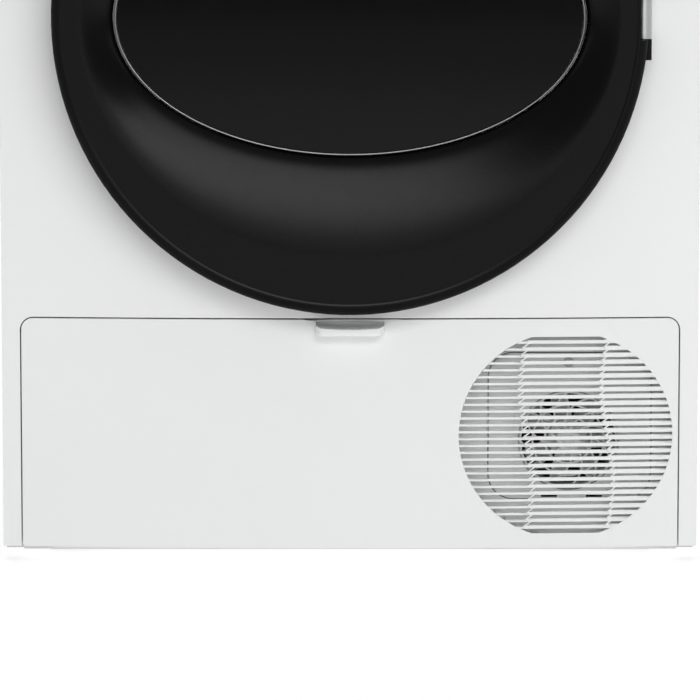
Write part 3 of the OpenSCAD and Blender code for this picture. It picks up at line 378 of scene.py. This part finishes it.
flap_lo, flap_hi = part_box("flap")
guard_lo, guard_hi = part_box("fan_guard")
grille_x = (guard_lo.x + guard_hi.x) / 2
grille_z = (guard_lo.z + guard_hi.z) / 2


BOW_R = 3.168  # radius of the bowed front in plan
GRILLE_REACH = 0.096
GROOVE_HALF = 0.031
GROOVE_HIGH = 0.009
SKIN = 0.001


def fine_work(p):
    """The flap's grille, its finger groove and everything behind its front face stay as they are."""
    in_grille = math.hypot(p.x - grille_x, p.z - grille_z) < GRILLE_REACH
    in_groove = abs(p.x) < GROOVE_HALF and p.z > flap_hi.z - GROOVE_HIGH
    front = flap_lo.y + BOW_R - math.sqrt(BOW_R ** 2 - p.x ** 2)
    return in_grille or in_groove or p.y > front + SKIN


soften("flap", 0.0006, keep=fine_work)


def capped(bm, rings):
    """A closed skin over rings of vertices, capped at both ends."""
    bridge(bm, rings)
    bm.faces.new(rings[0])
    bm.faces.new(rings[-1])


def handle():
    """The flap's finger grip: a rounded bar with a dipped top edge and round lower corners."""
    lo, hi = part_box("flap_handle")
    half = (hi.x - lo.x) / 2
    top = hi.z
    dip = 0.0016
    back_gap = 0.0004
    bm = bmesh.new()

    def outline(inset, y, top_mid, top_end, bottom, radius):
        w = half - inset
        points = []
        for k in range(21):
            x = -w + 2 * w * k / 20
            points.append((x, top_mid + (top_end - top_mid) * (x / w) ** 2))
        for k in range(1, 9):
            a = math.pi / 2 * k / 8
            points.append((w - radius + radius * math.cos(a), bottom + radius - radius * math.sin(a)))
        for k in range(9):
            a = math.pi / 2 * k / 8
            points.append((-w + radius - radius * math.sin(a), bottom + radius - radius * math.cos(a)))
        return [bm.verts.new((x, y, z)) for x, z in points]

    # Distance behind the front, inset at the sides, drop of the top at the middle and at the ends,
    # rise of the bottom, and radius of the lower corners
    profile = [
        (0.0115, 0.0, 0.0, 0.0, 0.0008, 0.0042),
        (0.0095, 0.00008, 0.0001, 0.0001, 0.0011, 0.0042),
        (0.0075, 0.0004, 0.0003, 0.0003, 0.0013, 0.0041),
        (0.0055, 0.0010, 0.0005, 0.0006, 0.0015, 0.0039),
        (0.0038, 0.0018, 0.0007, 0.0009, 0.0017, 0.0036),
        (0.0024, 0.0027, 0.0009, 0.0012, 0.0019, 0.0032),
        (0.0013, 0.0036, 0.0011, 0.0015, 0.0021, 0.0028),
        (0.0006, 0.0043, 0.0013, 0.0018, 0.0023, 0.0024),
        (0.0002, 0.0049, 0.0015, 0.0020, 0.0025, 0.0021),
        (0.0, 0.0056, 0.0017, 0.0023, 0.0028, 0.0017)]
    side, mid, end, low, radius = profile[0][1:]
    rings = [outline(side, hi.y - back_gap, top - dip - mid, top - end, lo.z + low, radius)]
    rings += [outline(side, lo.y + back, top - dip - mid, top - end, lo.z + low, radius)
              for back, side, mid, end, low, radius in profile]
    capped(bm, rings)
    add("flap_handle_grip", bm, "white_plastic", "flap_body", "flap_handle", smooth=60)


def cover_screw():
    """The round plastic fastener of the service cover, with a hexagonal socket."""
    lo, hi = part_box("service_cover")
    x = (guard_lo.x + guard_hi.x) / 2
    z = hi.z - 0.0078
    sides = 48
    bm = bmesh.new()

    def ring(radius, dy, hexagon=False):
        points = []
        for k in range(sides):
            a = 2 * math.pi * k / sides
            r = radius
            if hexagon:
                r = radius * math.cos(math.pi / 6) / math.cos(a % (math.pi / 3) - math.pi / 6)
            points.append(bm.verts.new((x + r * math.cos(a), lo.y + dy, z + r * math.sin(a))))
        return points

    head = [(0.0030, 0.0014), (0.0030, 0.00005), (0.0043, 0.00005), (0.0044, -0.0004),
            (0.0042, -0.0010), (0.0036, -0.0016), (0.0028, -0.0019)]
    socket = [(0.0025, -0.0019), (0.0024, -0.0003)]
    capped(bm, [ring(*row) for row in head] + [ring(*row, True) for row in socket])
    add("cover_screw", bm, "grey_plastic", "cabinet", smooth=35)


handle()
cover_screw()

# ---------- floor ----------
bm = bmesh.new()
bmesh.ops.create_grid(bm, x_segments=40, y_segments=40, size=9)
floor_mesh = bpy.data.meshes.new("floor")
bm.to_mesh(floor_mesh)
bm.free()
floor_mesh.materials.append(FLOOR)
floor = bpy.data.objects.new("floor", floor_mesh)
scene.collection.objects.link(floor)
